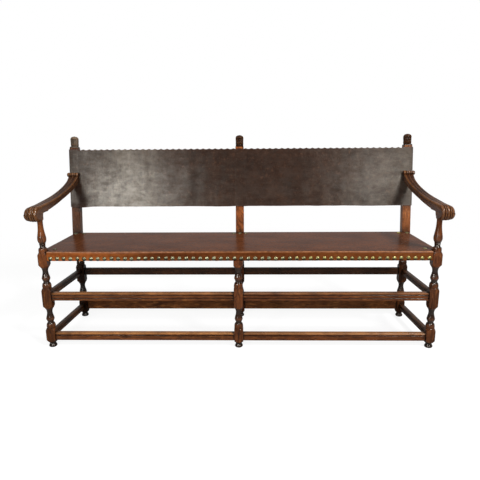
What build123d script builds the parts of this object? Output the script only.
from build123d import *
import math
import os

os.makedirs("parts", exist_ok=True)

# A three-place open-arm bench in turned oak, with a leather seat nailed over boards
# and a leather sheet slung round the raked back posts.
# X runs along the bench, Y runs from front to back, Z is up.
# The origin is on the floor under the middle front leg.

# Plan of the frame, over the outer faces of the square leg stock
leg_stock = 42.6
front_span = 1860.0
back_span = 1798.0
back_setback = 382.0
edge_ease = 1.6

# Squares and turnings of a leg, from the floor up
foot_height = 26.0
low_square = 72.0
low_turning = 102.0
middle_square = 100.0
high_turning = 104.0
high_square = 70.0
shoulder_height = 15.0
square_below_seat = 6.0

# Raked posts and their finials
rake_degrees = 8.7
post_rise = 444.0
finial_height = 62.0
finial_width = 41.0
dowel_radius = 6.0
dowel_length = 20.0

# Arm supports, arms, scrolls and rear caps
support_rise = 186.0
support_tenon_radius = 9.0
support_tenon_length = 22.0
arm_seat_radius = 17.0
arm_waist = 29.5
arm_swell = 12.0
arm_width = 42.6
arm_flare = 17.5
arm_climb = 87.0
arm_top_over_support = 37.0
arm_inset_front = 36.0
arm_inset_back = 26.0
scroll_radius = 35.0
scroll_reach = 66.3
reed_width_shares = (0.25, 0.125, 0.25, 0.125, 0.25)
reed_depth = 3.0
reed_bevel_share = 0.25
cap_radius = 11.5
cap_width = 57.5
cap_reach = 20.0
arm_tenon_width = 20.0
arm_tenon_height = 24.0
arm_tenon_length = 20.0

# Stretchers
rail_thick = 24.0
front_stretcher_height = 37.0
front_low_stretcher_height = 36.5
back_stretcher_height = 36.0
side_stretcher_height = 30.0
front_setin = 8.0
side_setin = 7.0
front_high_offset = 8.0
front_low_offset = -7.0
back_high_offset = 11.0
back_low_offset = 0.0
side_high_offset = 12.0
side_low_offset = 1.5
groove_radius = 3.0
bevel = 4.0
upper_groove_shares = (0.22, -0.20)
lower_groove_shares = (0.18,)
side_groove_shares = (0.10,)

# Mortise and tenon joints
tenon_thick = 9.0
tenon_length = 15.0
tenon_shoulder = 6.0
joint_gap = 0.15
mortise_depth_gap = 1.0

# Seat
leather_thick = 3.0
board_thick = 16.0
seat_rail_height = 24.0
seat_rail_setin = 5.0
seat_side_setin = 10.0
seat_back_setin = 20.0
back_rail_thick = 20.0
nose_radius = 9.0
notch_gap = 0.4
board_joint = 1.0
bearer_width = 32.0
middle_tenon = 20.0
middle_tenon_length = 14.0
bearer_tenon_length = 6.0
drop_depth = 43.0
nail_pitch = 31.8
nail_rise = 10.0

# Back leather
back_leather_thick = 3.5
back_leather_foot = 138.5
back_leather_height = 302.5
scallop_depth = 4.0
scallop_share = 0.90
wrap_flap = 24.0
wrap_radius = 4.5

# Nails
nail_radius = 9.3
nail_dome = 4.0
nail_crown_share = 0.55
nail_sides = 6
nail_inset = 10.5

# How far a turned square reaches past the corners of the stock that is cut from it
overrun = 2.0

# Turned outlines: control points as shares of the turning's height and of half the leg stock
foot_shares = [(0.0, 0.75), (0.33, 1.27), (0.67, 0.19), (1.0, 0.95)]
torus_shares = [(0.0, 0.95), (0.10, 1.07), (0.225, 0.86)]
ball_shares = [(0.225, 0.86), (0.28, 0.36), (0.38, 0.89), (0.46, 0.90)]
baluster_shares = [(0.46, 0.90), (0.56, 0.90), (0.80, 0.19), (1.0, 0.95)]
support_base_shares = [(0.0, 0.95), (0.05, 1.00), (0.10, 0.90)]
support_cove_shares = [(0.10, 0.90), (0.115, 0.62), (0.155, 0.57)]
support_bead_shares = [(0.155, 0.57), (0.170, 0.70), (0.185, 0.58)]
support_ring_shares = [(0.185, 0.58), (0.203, 0.73), (0.220, 0.62)]
support_vase_shares = [(0.220, 0.62), (0.37, 1.43), (0.42, 0.42), (0.80, 0.60)]
support_collar_shares = [(0.80, 0.74), (0.86, 0.86), (0.92, 0.74)]
support_neck_share = 0.68

# Arm sections: share of the run from scroll to post, then shares of the climb, the swell and the flare
arm_section_shares = [
    (0.00, 0.000, 0.95, 1.00), (0.20, 0.035, 0.57, 0.78), (0.38, 0.112, 0.24, 0.22),
    (0.55, 0.248, 0.05, 0.00), (0.72, 0.425, 0.04, 0.00), (0.87, 0.670, 0.34, 0.02),
    (1.00, 1.000, 1.00, 0.38),
]

# Finial: outlines of the head's front and side, and the cut corner of its plan, as shares of the finial's
# width, with heights as shares of its height
finial_front_shares = [(0.40, 0.0), (0.44, 0.32), (0.50, 0.46), (0.50, 0.70), (0.42, 0.88), (0.22, 1.0)]
finial_face_shares = [(0.36, 0.0), (0.38, 0.28), (0.46, 0.34), (0.46, 0.72), (0.36, 0.90), (0.16, 1.0)]
finial_back_shares = [(0.40, 0.0), (0.44, 0.40), (0.42, 0.76), (0.34, 0.90), (0.16, 1.0)]
finial_corner_share = 0.22
finial_base_share = 0.12

# Places worked out from the sizes above
half_stock = leg_stock / 2
corner_reach = half_stock * math.sqrt(2) + overrun
front_leg_x = front_span / 2 - half_stock
back_leg_x = back_span / 2 - half_stock
back_leg_y = back_setback
low_square_foot = foot_height
low_square_top = low_square_foot + low_square
middle_square_foot = low_square_top + low_turning
middle_square_top = middle_square_foot + middle_square
high_square_foot = middle_square_top + high_turning
high_square_top = high_square_foot + high_square
seat_top = high_square_top + square_below_seat
board_top = seat_top - leather_thick
board_foot = board_top - board_thick
seat_rail_foot = board_foot - seat_rail_height
support_top = seat_top + support_rise
rake = math.radians(rake_degrees)
rake_axis = Vector(0, math.sin(rake), math.cos(rake))
rake_normal = Vector(0, math.cos(rake), -math.sin(rake))
post_depth = leg_stock * math.cos(rake)
side_angle = math.degrees(math.atan2(front_leg_x - back_leg_x, back_leg_y))


def post_front(height):
    """Y of the front face of a raked post at a height above the floor."""
    return back_leg_y - half_stock + max(height - seat_top, 0) * math.tan(rake)


def shared(z_foot, z_top, shares):
    """Points of a turned outline in the plane of the leg's axis."""
    return [(radius * half_stock, z_foot + rise * (z_top - z_foot)) for rise, radius in shares]


def square_outline(z_foot, z_top, top_turned=True):
    """Outline of a square with its turned shoulders; the square itself is cut from it later."""
    neck = torus_shares[0][1] * half_stock
    shoulder = (corner_reach, z_top - shoulder_height)
    Polyline((neck, z_foot), (corner_reach, z_foot + shoulder_height), shoulder)
    if top_turned:
        Line(shoulder, (neck, z_top))
    else:
        Polyline(shoulder, (corner_reach, z_top), (0, z_top), (0, 0))


def leg_outline():
    """Outline of the foot, squares and balusters from the floor to the top of the upper turning."""
    foot = shared(0, foot_height, foot_shares)
    Line((0, 0), foot[0])
    Bezier(*foot)
    square_outline(low_square_foot, low_square_top)
    for z_foot, z_top in ((low_square_top, middle_square_foot), (middle_square_top, high_square_foot)):
        for shares in (torus_shares, ball_shares, baluster_shares):
            Bezier(*shared(z_foot, z_top, shares))
    square_outline(middle_square_foot, middle_square_top)


def support_outline():
    """Outline of the arm support, from the upper square to the tip of its round tenon and the axis."""
    for shares in (support_base_shares, support_cove_shares, support_bead_shares, support_ring_shares,
                   support_vase_shares, support_collar_shares):
        Bezier(*shared(high_square_top, support_top, shares))
    vase_end = shared(high_square_top, support_top, support_vase_shares)[-1]
    collar = shared(high_square_top, support_top, support_collar_shares)
    Line(vase_end, collar[0])
    neck = support_neck_share * half_stock
    tenon_top = support_top + support_tenon_length
    Polyline(collar[-1], (neck, collar[-1][1]), (neck, support_top), (support_tenon_radius, support_top),
             (support_tenon_radius, tenon_top), (0, tenon_top), (0, 0))


def eased_square(x, y):
    """Section of the leg stock with its arrises eased."""
    with Locations((x, y)):
        stock = Rectangle(leg_stock, leg_stock)
    chamfer(stock.vertices(), edge_ease)


class Bar:
    """A rail or stretcher between two legs: its middle, its outward side, its run and its section."""

    def __init__(self, centre, outward, run, height, thick, tenon=tenon_length):
        run_direction = Vector(*outward).cross(Vector(0, 0, 1))
        self.plane = Plane(origin=centre, x_dir=outward, z_dir=run_direction)
        self.run = run
        self.height = height
        self.thick = thick
        self.slanted = abs(self.plane.z_dir.X * self.plane.z_dir.Y) > 0
        self.tenon = tenon
        self.tenon_height = height - 2 * tenon_shoulder


def across(x_from, x_to, y, outward_y, z_centre, height, thick):
    """A bar that runs along X."""
    return Bar(((x_from + x_to) / 2, y, z_centre), (0, outward_y, 0), abs(x_to - x_from), height, thick)


def beside(side, setin, z_centre, height, thick):
    """A bar that runs from a front leg to a back leg at one end of the bench."""
    angle = math.radians(side_angle)
    inward = half_stock - setin - thick / 2
    x_centre = (front_leg_x + back_leg_x) / 2 + inward
    run = (back_leg_y - leg_stock) / math.cos(angle)
    outward = (side * math.cos(angle), math.sin(angle), 0)
    return Bar((side * x_centre, back_leg_y / 2, z_centre), outward, run, height, thick)


front_y = -half_stock + front_setin + rail_thick / 2
back_y = back_leg_y + half_stock - front_setin - rail_thick / 2
seat_front_y = -half_stock + seat_rail_setin + rail_thick / 2
seat_back_y = back_leg_y + half_stock - seat_back_setin - back_rail_thick / 2
low_middle = low_square_foot + low_square / 2
high_middle = middle_square_foot + middle_square / 2
seat_rail_middle = seat_rail_foot + seat_rail_height / 2
seat_front = seat_front_y - rail_thick / 2
seat_back = seat_back_y + back_rail_thick / 2
front_drop = 2 * (front_leg_x - half_stock - notch_gap)
front_nails = round(front_drop / nail_pitch)
side_drop = (back_leg_y - leg_stock - 2 * notch_gap) / math.cos(math.radians(side_angle)) - leather_thick
side_nails = round(side_drop / nail_pitch)
arm_front_top = support_top + arm_top_over_support
arm_back_top = arm_front_top + arm_climb
arm_tenon_z = arm_back_top - (arm_waist + arm_swell) / 2
cap_y = post_front(arm_back_top) - cap_reach
arm_run = cap_y + scroll_reach

bars = {}
for side, label in ((-1, "left"), (1, "right")):
    front_from, front_to = side * half_stock, side * (front_leg_x - half_stock)
    back_to = side * (back_leg_x - half_stock)
    bars["front_upper_stretcher_" + label] = across(
        front_from, front_to, front_y, -1, high_middle + front_high_offset, front_stretcher_height,
        rail_thick)
    bars["front_lower_stretcher_" + label] = across(
        front_from, front_to, front_y, -1, low_middle + front_low_offset, front_low_stretcher_height,
        rail_thick)
    bars["back_upper_stretcher_" + label] = across(
        front_from, back_to, back_y, 1, high_middle + back_high_offset, back_stretcher_height, rail_thick)
    bars["back_lower_stretcher_" + label] = across(
        front_from, back_to, back_y, 1, low_middle + back_low_offset, back_stretcher_height, rail_thick)
    bars["side_upper_stretcher_" + label] = beside(
        side, side_setin, high_middle + side_high_offset, side_stretcher_height, rail_thick)
    bars["side_lower_stretcher_" + label] = beside(
        side, side_setin, low_middle + side_low_offset, side_stretcher_height, rail_thick)
    bars["seat_rail_side_" + label] = beside(
        side, seat_side_setin, seat_rail_middle, seat_rail_height, rail_thick)
    bars["seat_rail_back_" + label] = across(
        front_from, back_to, seat_back_y, 1, seat_rail_middle, seat_rail_height, back_rail_thick)
bars["seat_rail_front"] = across(
    -(front_leg_x - half_stock), front_leg_x - half_stock, seat_front_y, -1,
    seat_rail_middle, seat_rail_height, rail_thick)

bearer_front = seat_front_y + rail_thick / 2
bearer_back = back_leg_y - half_stock
bars["seat_bearer"] = Bar(
    (0, (bearer_front + bearer_back) / 2, seat_rail_middle), (1, 0, 0),
    bearer_back - bearer_front, seat_rail_height, bearer_width, bearer_tenon_length)


def cut_mortises():
    """Cut the mortise of every bar's tenons from the piece that is being built."""
    for bar in bars.values():
        with BuildSketch(bar.plane) as mortise:
            Rectangle(tenon_thick + 2 * joint_gap, bar.tenon_height + 2 * joint_gap)
        reach = bar.run / 2 + bar.tenon + mortise_depth_gap
        extrude(mortise.sketch, amount=reach, both=True, mode=Mode.SUBTRACT)


def finish(piece, label):
    """Name a finished piece and write it."""
    piece.part.label = label
    export_step(piece.part, "parts/" + label + ".step")


def front_leg(label, x):
    """An outer front leg, in one length from the bun foot to the round tenon under the arm."""
    axis_plane = Plane(origin=(x, 0, 0), x_dir=(1, 0, 0), z_dir=(0, -1, 0))
    with BuildPart() as leg:
        with BuildSketch(axis_plane):
            with BuildLine():
                leg_outline()
                square_outline(high_square_foot, high_square_top)
                support_outline()
            make_face()
        revolve(axis=Axis((x, 0, 0), (0, 0, 1)))
        with BuildSketch():
            eased_square(x, 0)
        extrude(amount=support_top + support_tenon_length, mode=Mode.INTERSECT)
        cut_mortises()
    finish(leg, label)


def middle_front_leg(label):
    """The middle front leg stops under the seat rail and has a stub tenon into it."""
    with BuildPart() as leg:
        with BuildSketch(Plane.XZ):
            with BuildLine():
                leg_outline()
                square_outline(high_square_foot, seat_rail_foot, top_turned=False)
            make_face()
        revolve(axis=Axis.Z)
        with BuildSketch():
            eased_square(0, 0)
        extrude(amount=seat_rail_foot, mode=Mode.INTERSECT)
        with BuildSketch(Plane.XY.offset(seat_rail_foot)):
            with Locations((0, seat_front_y)):
                Rectangle(middle_tenon, tenon_thick)
        extrude(amount=middle_tenon_length)
        cut_mortises()
    finish(leg, label)


def back_post(label, x):
    """A back leg and raked post in one length; the turned part stops under the seat."""
    axis_plane = Plane(origin=(x, back_leg_y, 0), x_dir=(1, 0, 0), z_dir=(0, -1, 0))
    with BuildPart() as post:
        with BuildSketch(axis_plane):
            with BuildLine():
                leg_outline()
                square_outline(high_square_foot, seat_top, top_turned=False)
            make_face()
        revolve(axis=Axis((x, back_leg_y, 0), (0, 0, 1)))
        with BuildSketch():
            eased_square(x, back_leg_y)
        extrude(amount=seat_top, mode=Mode.INTERSECT)
        with BuildSketch(Plane.XY.offset(seat_top)):
            eased_square(x, back_leg_y)
        extrude(amount=post_rise / math.cos(rake) + leg_stock, dir=rake_axis)
        split(bisect_by=finial_seat(x), keep=Keep.BOTTOM)
        with BuildSketch(finial_seat(x)):
            Circle(dowel_radius + joint_gap)
        extrude(amount=-(dowel_length + mortise_depth_gap), mode=Mode.SUBTRACT)
        if x:
            arm_mortise(math.copysign(1, x), joint_gap)
        cut_mortises()
    finish(post, label)


def finial_seat(x):
    """Plane square to the rake at the top of a post."""
    top_y = back_leg_y + post_rise * math.tan(rake)
    return Plane(origin=(x, top_y, seat_top + post_rise), x_dir=(1, 0, 0), z_dir=rake_axis)


def arm_mortise(side, grow):
    """The rear tenon of an arm, or its mortise when it is grown."""
    y_from = post_front(arm_tenon_z) - back_leather_thick - cap_reach / 2
    y_to = post_front(arm_tenon_z) + arm_tenon_length + (mortise_depth_gap if grow else 0)
    length = y_to - y_from
    with Locations((side * back_leg_x, y_from + length / 2, arm_tenon_z)):
        Box(arm_tenon_width + 2 * grow, length, arm_tenon_height + 2 * grow,
            mode=Mode.SUBTRACT if grow else Mode.ADD)


def rail(label, bar, groove_shares, grooved_faces, bevelled_faces):
    """A rail with its moulding run along the shown faces and a tenon at each end."""
    with BuildPart() as piece:
        with BuildSketch(bar.plane) as section:
            Rectangle(bar.thick, bar.height)
            upper = section.vertices().group_by(Axis.Y)[-1].sort_by(Axis.X)
            for face in bevelled_faces:
                chamfer(upper[0] if face < 0 else upper[-1], bevel)
            for face in grooved_faces:
                for share in groove_shares:
                    with Locations((face * bar.thick / 2, share * bar.height)):
                        Circle(groove_radius, mode=Mode.SUBTRACT)
        if bar.slanted:
            extrude(amount=bar.run / 2 + bar.thick, both=True)
            with Locations(bar.plane.origin):
                Box(2 * leg_stock + bar.thick, back_leg_y - leg_stock, 2 * bar.height, mode=Mode.INTERSECT)
        else:
            extrude(amount=bar.run / 2, both=True)
        with BuildSketch(bar.plane):
            Rectangle(tenon_thick, bar.tenon_height)
        extrude(amount=bar.run / 2 + bar.tenon, both=True)
        if label == "seat_rail_front":
            cut_bearer_and_leg_mortises()
    finish(piece, label)


def cut_bearer_and_leg_mortises():
    """Cut what the seat bearer and the middle leg's stub tenon need in the front seat rail."""
    bearer = bars["seat_bearer"]
    with BuildSketch(bearer.plane) as mortise:
        Rectangle(tenon_thick + 2 * joint_gap, bearer.tenon_height + 2 * joint_gap)
    reach = bearer.run / 2 + bearer.tenon + mortise_depth_gap
    extrude(mortise.sketch, amount=reach, both=True, mode=Mode.SUBTRACT)
    with BuildSketch(Plane.XY.offset(seat_rail_foot)) as stub:
        with Locations((0, seat_front_y)):
            Rectangle(middle_tenon + 2 * joint_gap, tenon_thick + 2 * joint_gap)
    extrude(stub.sketch, amount=middle_tenon_length + mortise_depth_gap, mode=Mode.SUBTRACT)


def seat_edge_x(y):
    """X of the wooden seat's side edge, over the outer faces of the side seat rails."""
    angle = math.radians(side_angle)
    middle = (front_leg_x + back_leg_x) / 2 + half_stock - seat_side_setin - rail_thick / 2
    return middle + rail_thick / 2 / math.cos(angle) + (back_leg_y / 2 - y) * math.tan(angle)


def seat_corners():
    """Corners of the wooden seat in plan, without the notches for the legs."""
    return [(-seat_edge_x(seat_front), seat_front), (seat_edge_x(seat_front), seat_front),
            (seat_edge_x(seat_back), seat_back), (-seat_edge_x(seat_back), seat_back)]


def cut_leg_notches(grow):
    """Cut the legs and posts out of a seat layer."""
    places = [(-front_leg_x, 0), (front_leg_x, 0)]
    places += [(x, back_leg_y) for x in (-back_leg_x, 0, back_leg_x)]
    size = leg_stock + 2 * grow
    with Locations(*[(x, y, seat_top - drop_depth / 2) for x, y in places]):
        Box(size, size, 2 * drop_depth, mode=Mode.SUBTRACT)


def seat_board(label, y_from, y_to):
    """A long seat board, rounded over along the outer edge of the seat and notched round the legs."""
    with BuildPart() as board:
        with BuildSketch(Plane.XY.offset(board_foot)):
            with BuildLine():
                Polyline(*seat_corners(), close=True)
            make_face()
        extrude(amount=board_thick)
        fillet(board.faces().sort_by(Axis.Z)[-1].edges(), nose_radius - leather_thick)
        with Locations((0, (y_from + y_to) / 2, board_foot + board_thick / 2)):
            Box(front_span, y_to - y_from, board_thick, mode=Mode.INTERSECT)
        cut_leg_notches(notch_gap)
    finish(board, label)


def seat_leather(label):
    """One hide over the seat, turned down and cut straight all round."""
    drop_foot = seat_top - drop_depth
    with BuildPart() as inside:
        with BuildSketch(Plane.XY.offset(drop_foot - overrun)):
            with BuildLine():
                Polyline(*seat_corners(), close=True)
            make_face()
        extrude(amount=board_top - drop_foot + overrun)
        fillet(inside.faces().sort_by(Axis.Z)[-1].edges(), nose_radius - leather_thick)
    with BuildPart() as leather:
        with BuildSketch(Plane.XY.offset(drop_foot)):
            with BuildLine():
                Polyline(*seat_corners(), close=True)
            make_face()
            offset(amount=leather_thick, kind=Kind.INTERSECTION)
        extrude(amount=drop_depth)
        fillet(leather.faces().sort_by(Axis.Z)[-1].edges(), nose_radius)
        add(inside.part, mode=Mode.SUBTRACT)
        cut_leg_notches(notch_gap)
    finish(leather, label)


def side_drop_plane(side, z):
    """Plane on the outer face of a side seat rail, looking outward."""
    angle = math.radians(side_angle)
    y = back_leg_y / 2
    return Plane(origin=(side * seat_edge_x(y), y, z), x_dir=(side * -math.sin(angle), math.cos(angle), 0),
                 z_dir=(side * math.cos(angle), math.sin(angle), 0))


def post_plane(along):
    """Plane square to the rake, through the post's axis, at a distance up the post from the seat."""
    return Plane(origin=Vector(0, back_leg_y, seat_top) + rake_axis * along, x_dir=(1, 0, 0), z_dir=rake_axis)


def scallops(length):
    """A row of shallow round scallops below level zero, with narrow flat peaks between them."""
    count = round(length / nail_pitch)
    pitch = length / count
    half_scallop = scallop_share * pitch / 2
    with BuildLine() as edge:
        for i in range(count):
            middle = (i + 0.5) * pitch - length / 2
            ThreePointArc((middle - half_scallop, 0), (middle, -scallop_depth), (middle + half_scallop, 0))
            Polyline((middle + half_scallop, 0), (middle + half_scallop, scallop_depth),
                     (middle - half_scallop, scallop_depth), (middle - half_scallop, 0))
    make_face(edge.edges())


def back_leather(label):
    """The back leather lies on the fronts of the posts, wraps the outer ones and is turned in behind."""
    with BuildPart() as leather:
        with BuildSketch(post_plane(back_leather_foot)):
            outer = Rectangle(back_span + 2 * back_leather_thick, post_depth + 2 * back_leather_thick)
            fillet(outer.vertices(), wrap_radius)
            Rectangle(back_span, post_depth, mode=Mode.SUBTRACT)
            with Locations((0, post_depth)):
                Rectangle(back_span - 2 * wrap_flap, 2 * post_depth, mode=Mode.SUBTRACT)
        extrude(amount=back_leather_height)
        top = post_plane(back_leather_foot + back_leather_height)
        front = top.origin - rake_normal * (post_depth / 2 + back_leather_thick)
        with BuildSketch(Plane(origin=front, x_dir=(-1, 0, 0), z_dir=-rake_normal)):
            scallops(2 * (back_leg_x - half_stock))
        extrude(amount=-back_leather_thick, mode=Mode.SUBTRACT)
        for side in (-1, 1):
            arm_mortise(side, joint_gap)
    finish(leather, label)


def reeds(x_from, x_to, level):
    """Outline of wide and narrow reeds along the top of a section, each flat between two bevels."""
    points, x = [], x_from
    for share in reed_width_shares:
        width = share * (x_to - x_from)
        points += [(x, level - reed_depth), (x + reed_bevel_share * width, level),
                   (x + (1 - reed_bevel_share) * width, level)]
        x += width
    return points + [(x_to, level - reed_depth)]


def arm_inner_x(y):
    """Distance of the arm's inner face from the middle of the bench."""
    front, back = front_leg_x - arm_inset_front, back_leg_x - arm_inset_back
    return front + (back - front) * y / back_leg_y


def arm(label, side):
    """A scrolled arm: reeds along its whole top and round the scroll, and a reeded cap at the post."""
    with BuildPart() as piece:
        for run, climb, swell, flare in arm_section_shares:
            y = -scroll_reach + run * arm_run
            top = arm_front_top + climb * arm_climb
            foot = top - arm_waist - swell * arm_swell
            inner = arm_inner_x(y)
            outer = inner + arm_width + flare * arm_flare
            x_from, x_to = sorted((side * inner, side * outer))
            with BuildSketch(Plane(origin=(0, y, 0), x_dir=(1, 0, 0), z_dir=(0, -1, 0))):
                with BuildLine():
                    Polyline(*reeds(x_from, x_to, top), (x_to, foot), (x_from, foot), close=True)
                make_face()
        loft()
        extrude(piece.faces().sort_by(Axis.Y)[-1], amount=2 * cap_reach)
        cap_from, cap_to = side * back_leg_x - cap_width / 2, side * back_leg_x + cap_width / 2
        with Locations((side * back_leg_x, cap_y + cap_reach, arm_back_top)):
            Box(cap_width, 2 * cap_reach, 2 * (cap_radius - reed_depth))
        split(bisect_by=leather_face(), keep=Keep.BOTTOM)
        inner = arm_inner_x(-scroll_reach)
        scroll_from, scroll_to = sorted((side * inner, side * (inner + arm_width + arm_flare)))
        scroll_z = arm_front_top - scroll_radius
        roll(scroll_from, scroll_to, -scroll_reach, scroll_z, scroll_radius, 270)
        roll(cap_from, cap_to, cap_y, arm_back_top, cap_radius, 360)
        arm_mortise(side, 0)
        with Locations((side * front_leg_x, 0, support_top)):
            Cylinder(arm_seat_radius, arm_swell, align=(Align.CENTER, Align.CENTER, Align.MAX),
                     mode=Mode.SUBTRACT)
            Cylinder(support_tenon_radius + joint_gap, support_tenon_length + mortise_depth_gap,
                     align=(Align.CENTER, Align.CENTER, Align.MIN), mode=Mode.SUBTRACT)
    finish(piece, label)


def roll(x_from, x_to, y, z, radius, turn):
    """A reeded roll about an axis along X, turned from its top forward and down."""
    with BuildSketch(Plane(origin=(0, y, z), x_dir=(1, 0, 0), z_dir=(0, -1, 0))) as half:
        with BuildLine() as edge:
            Polyline(*reeds(x_from, x_to, radius), (x_to, 0), (x_from, 0), close=True)
        make_face(edge.edges())
    revolve(half.sketch, axis=Axis((0, y, z), (1, 0, 0)), revolution_arc=turn)


def leather_face():
    """Plane of the front of the back leather, facing back."""
    start = post_plane(0)
    return Plane(origin=start.origin - rake_normal * (post_depth / 2 + back_leather_thick),
                 x_dir=(1, 0, 0), z_dir=rake_normal)


def finial(label, x):
    """A head on a square base, blocked out by its front, side and plan outlines and dowelled to the post."""
    seat = finial_seat(x)
    front = [(wide * finial_width, rise * finial_height) for wide, rise in finial_front_shares]
    face = [(-deep * finial_width, rise * finial_height) for deep, rise in finial_face_shares]
    back = [(deep * finial_width, rise * finial_height) for deep, rise in finial_back_shares]
    mirrored = [(-wide, rise) for wide, rise in reversed(front)]
    with BuildPart() as head:
        with BuildSketch(seat):
            plan = Rectangle(finial_width, finial_width)
            chamfer(plan.vertices(), finial_corner_share * finial_width)
        extrude(amount=finial_height)
        with BuildSketch(Plane(origin=seat.origin, x_dir=(1, 0, 0), z_dir=-rake_normal)):
            with BuildLine():
                Polyline(*front, *mirrored, close=True)
            make_face()
        extrude(amount=finial_width, both=True, mode=Mode.INTERSECT)
        with BuildSketch(Plane(origin=seat.origin, x_dir=rake_normal, z_dir=(1, 0, 0))):
            with BuildLine():
                Polyline(*face, *reversed(back), close=True)
            make_face()
        extrude(amount=finial_width, both=True, mode=Mode.INTERSECT)
        with BuildSketch(seat):
            base = Rectangle(finial_width, finial_width)
            chamfer(base.vertices(), edge_ease)
        extrude(amount=finial_base_share * finial_height)
        with BuildSketch(seat):
            Circle(dowel_radius)
        extrude(amount=-dowel_length)
    finish(head, label)


def nails(label, places):
    """A row of domed nail heads as one node; each place is a plane on the leather that faces outward."""
    drawn_in = nail_radius * math.cos(math.pi / nail_sides) * (1 - nail_crown_share)
    with BuildPart() as head:
        with BuildSketch():
            RegularPolygon(nail_radius, nail_sides)
        extrude(amount=nail_dome, taper=math.degrees(math.atan2(drawn_in, nail_dome)))
    with BuildPart() as heads:
        with Locations(*places):
            add(head.part)
    finish(heads, label)


def front_nail_places():
    """A row of nails along the front edge of the seat."""
    pitch = front_drop / front_nails
    z = seat_top - drop_depth + nail_rise
    return [Plane(origin=(-front_drop / 2 + (i + 0.5) * pitch, seat_front - leather_thick, z),
                  x_dir=(1, 0, 0), z_dir=(0, -1, 0)) for i in range(front_nails)]


def side_nail_places():
    """A row of nails along each side edge of the seat."""
    places = []
    pitch = side_drop / side_nails
    for side in (-1, 1):
        drop = side_drop_plane(side, seat_top - drop_depth + nail_rise)
        for i in range(side_nails):
            along = -side_drop / 2 + (i + 0.5) * pitch
            places.append(Plane(origin=drop.origin + drop.x_dir * along + drop.z_dir * leather_thick,
                                x_dir=drop.x_dir, z_dir=drop.z_dir))
    return places


def back_nail_places():
    """Nails along the turned-down back edge of the seat, at twice the front's pitch."""
    bay = back_leg_x - leg_stock - 2 * nail_inset
    count = round(bay / (2 * nail_pitch))
    z = seat_top - drop_depth + nail_rise
    places = []
    for side in (-1, 1):
        for i in range(count + 1):
            x = side * (half_stock + nail_inset + i * bay / count)
            places.append(Plane(origin=(x, seat_back + leather_thick, z), x_dir=(-1, 0, 0), z_dir=(0, 1, 0)))
    return places


def notch_nail_places():
    """Nails on top of the seat, beside the notches for the legs and posts."""
    beside_post = half_stock + 2 * nail_inset + notch_gap
    beside_middle = half_stock + nail_inset
    places = [(x, back_leg_y - beside_middle) for x in (-beside_middle, 0, beside_middle)]
    for side in (-1, 1):
        places.append((side * back_leg_x, back_leg_y - half_stock - nail_inset))
        places.append((side * (back_leg_x - beside_post), back_leg_y - half_stock - nail_inset))
        places.append((side * (front_leg_x - beside_post), half_stock + nail_inset))
    return [Plane(origin=(x, y, seat_top)) for x, y in places]


def wrap_nail_places():
    """Nails through the flaps of the back leather, behind the outer posts."""
    count = round(back_leather_height / nail_pitch)
    pitch = back_leather_height / count
    places = []
    for side in (-1, 1):
        for i in range(count):
            along = back_leather_foot + (i + 0.5) * pitch
            behind = post_plane(along).origin + rake_normal * (post_depth / 2 + back_leather_thick)
            x = side * (back_span / 2 - wrap_flap / 2)
            places.append(Plane(origin=behind + Vector(x, 0, 0), x_dir=(-1, 0, 0), z_dir=rake_normal))
    return places


for side, label in ((-1, "left"), (1, "right")):
    front_leg("front_leg_" + label, side * front_leg_x)
    back_post("back_post_" + label, side * back_leg_x)
    finial("finial_" + label, side * back_leg_x)
    arm("arm_" + label, side)
middle_front_leg("front_leg_middle")
back_post("back_post_middle", 0)
finial("finial_middle", 0)

# Grooves, grooved faces and bevelled faces of each kind of stretcher; the seat rails have none
mouldings = {
    "front_upper": (upper_groove_shares, (1,), (1,)),
    "front_lower": (lower_groove_shares, (1,), (1,)),
    "side": (side_groove_shares, (-1, 1), (-1, 1)),
    "back": ((), (), (-1, 1)),
}
for label, bar in bars.items():
    kind = next((kind for kind in mouldings if label.startswith(kind)), None)
    rail(label, bar, *mouldings.get(kind, ((), (), ())))

board_middle = (seat_front + seat_back) / 2
seat_board("seat_board_front", seat_front, board_middle - board_joint / 2)
seat_board("seat_board_back", board_middle + board_joint / 2, seat_back)
seat_leather("seat_leather")
back_leather("back_leather")
nails("seat_nails_front", front_nail_places())
nails("seat_nails_sides", side_nail_places())
nails("seat_nails_back", back_nail_places())
nails("seat_nails_top", notch_nail_places())
nails("back_leather_nails", wrap_nail_places())
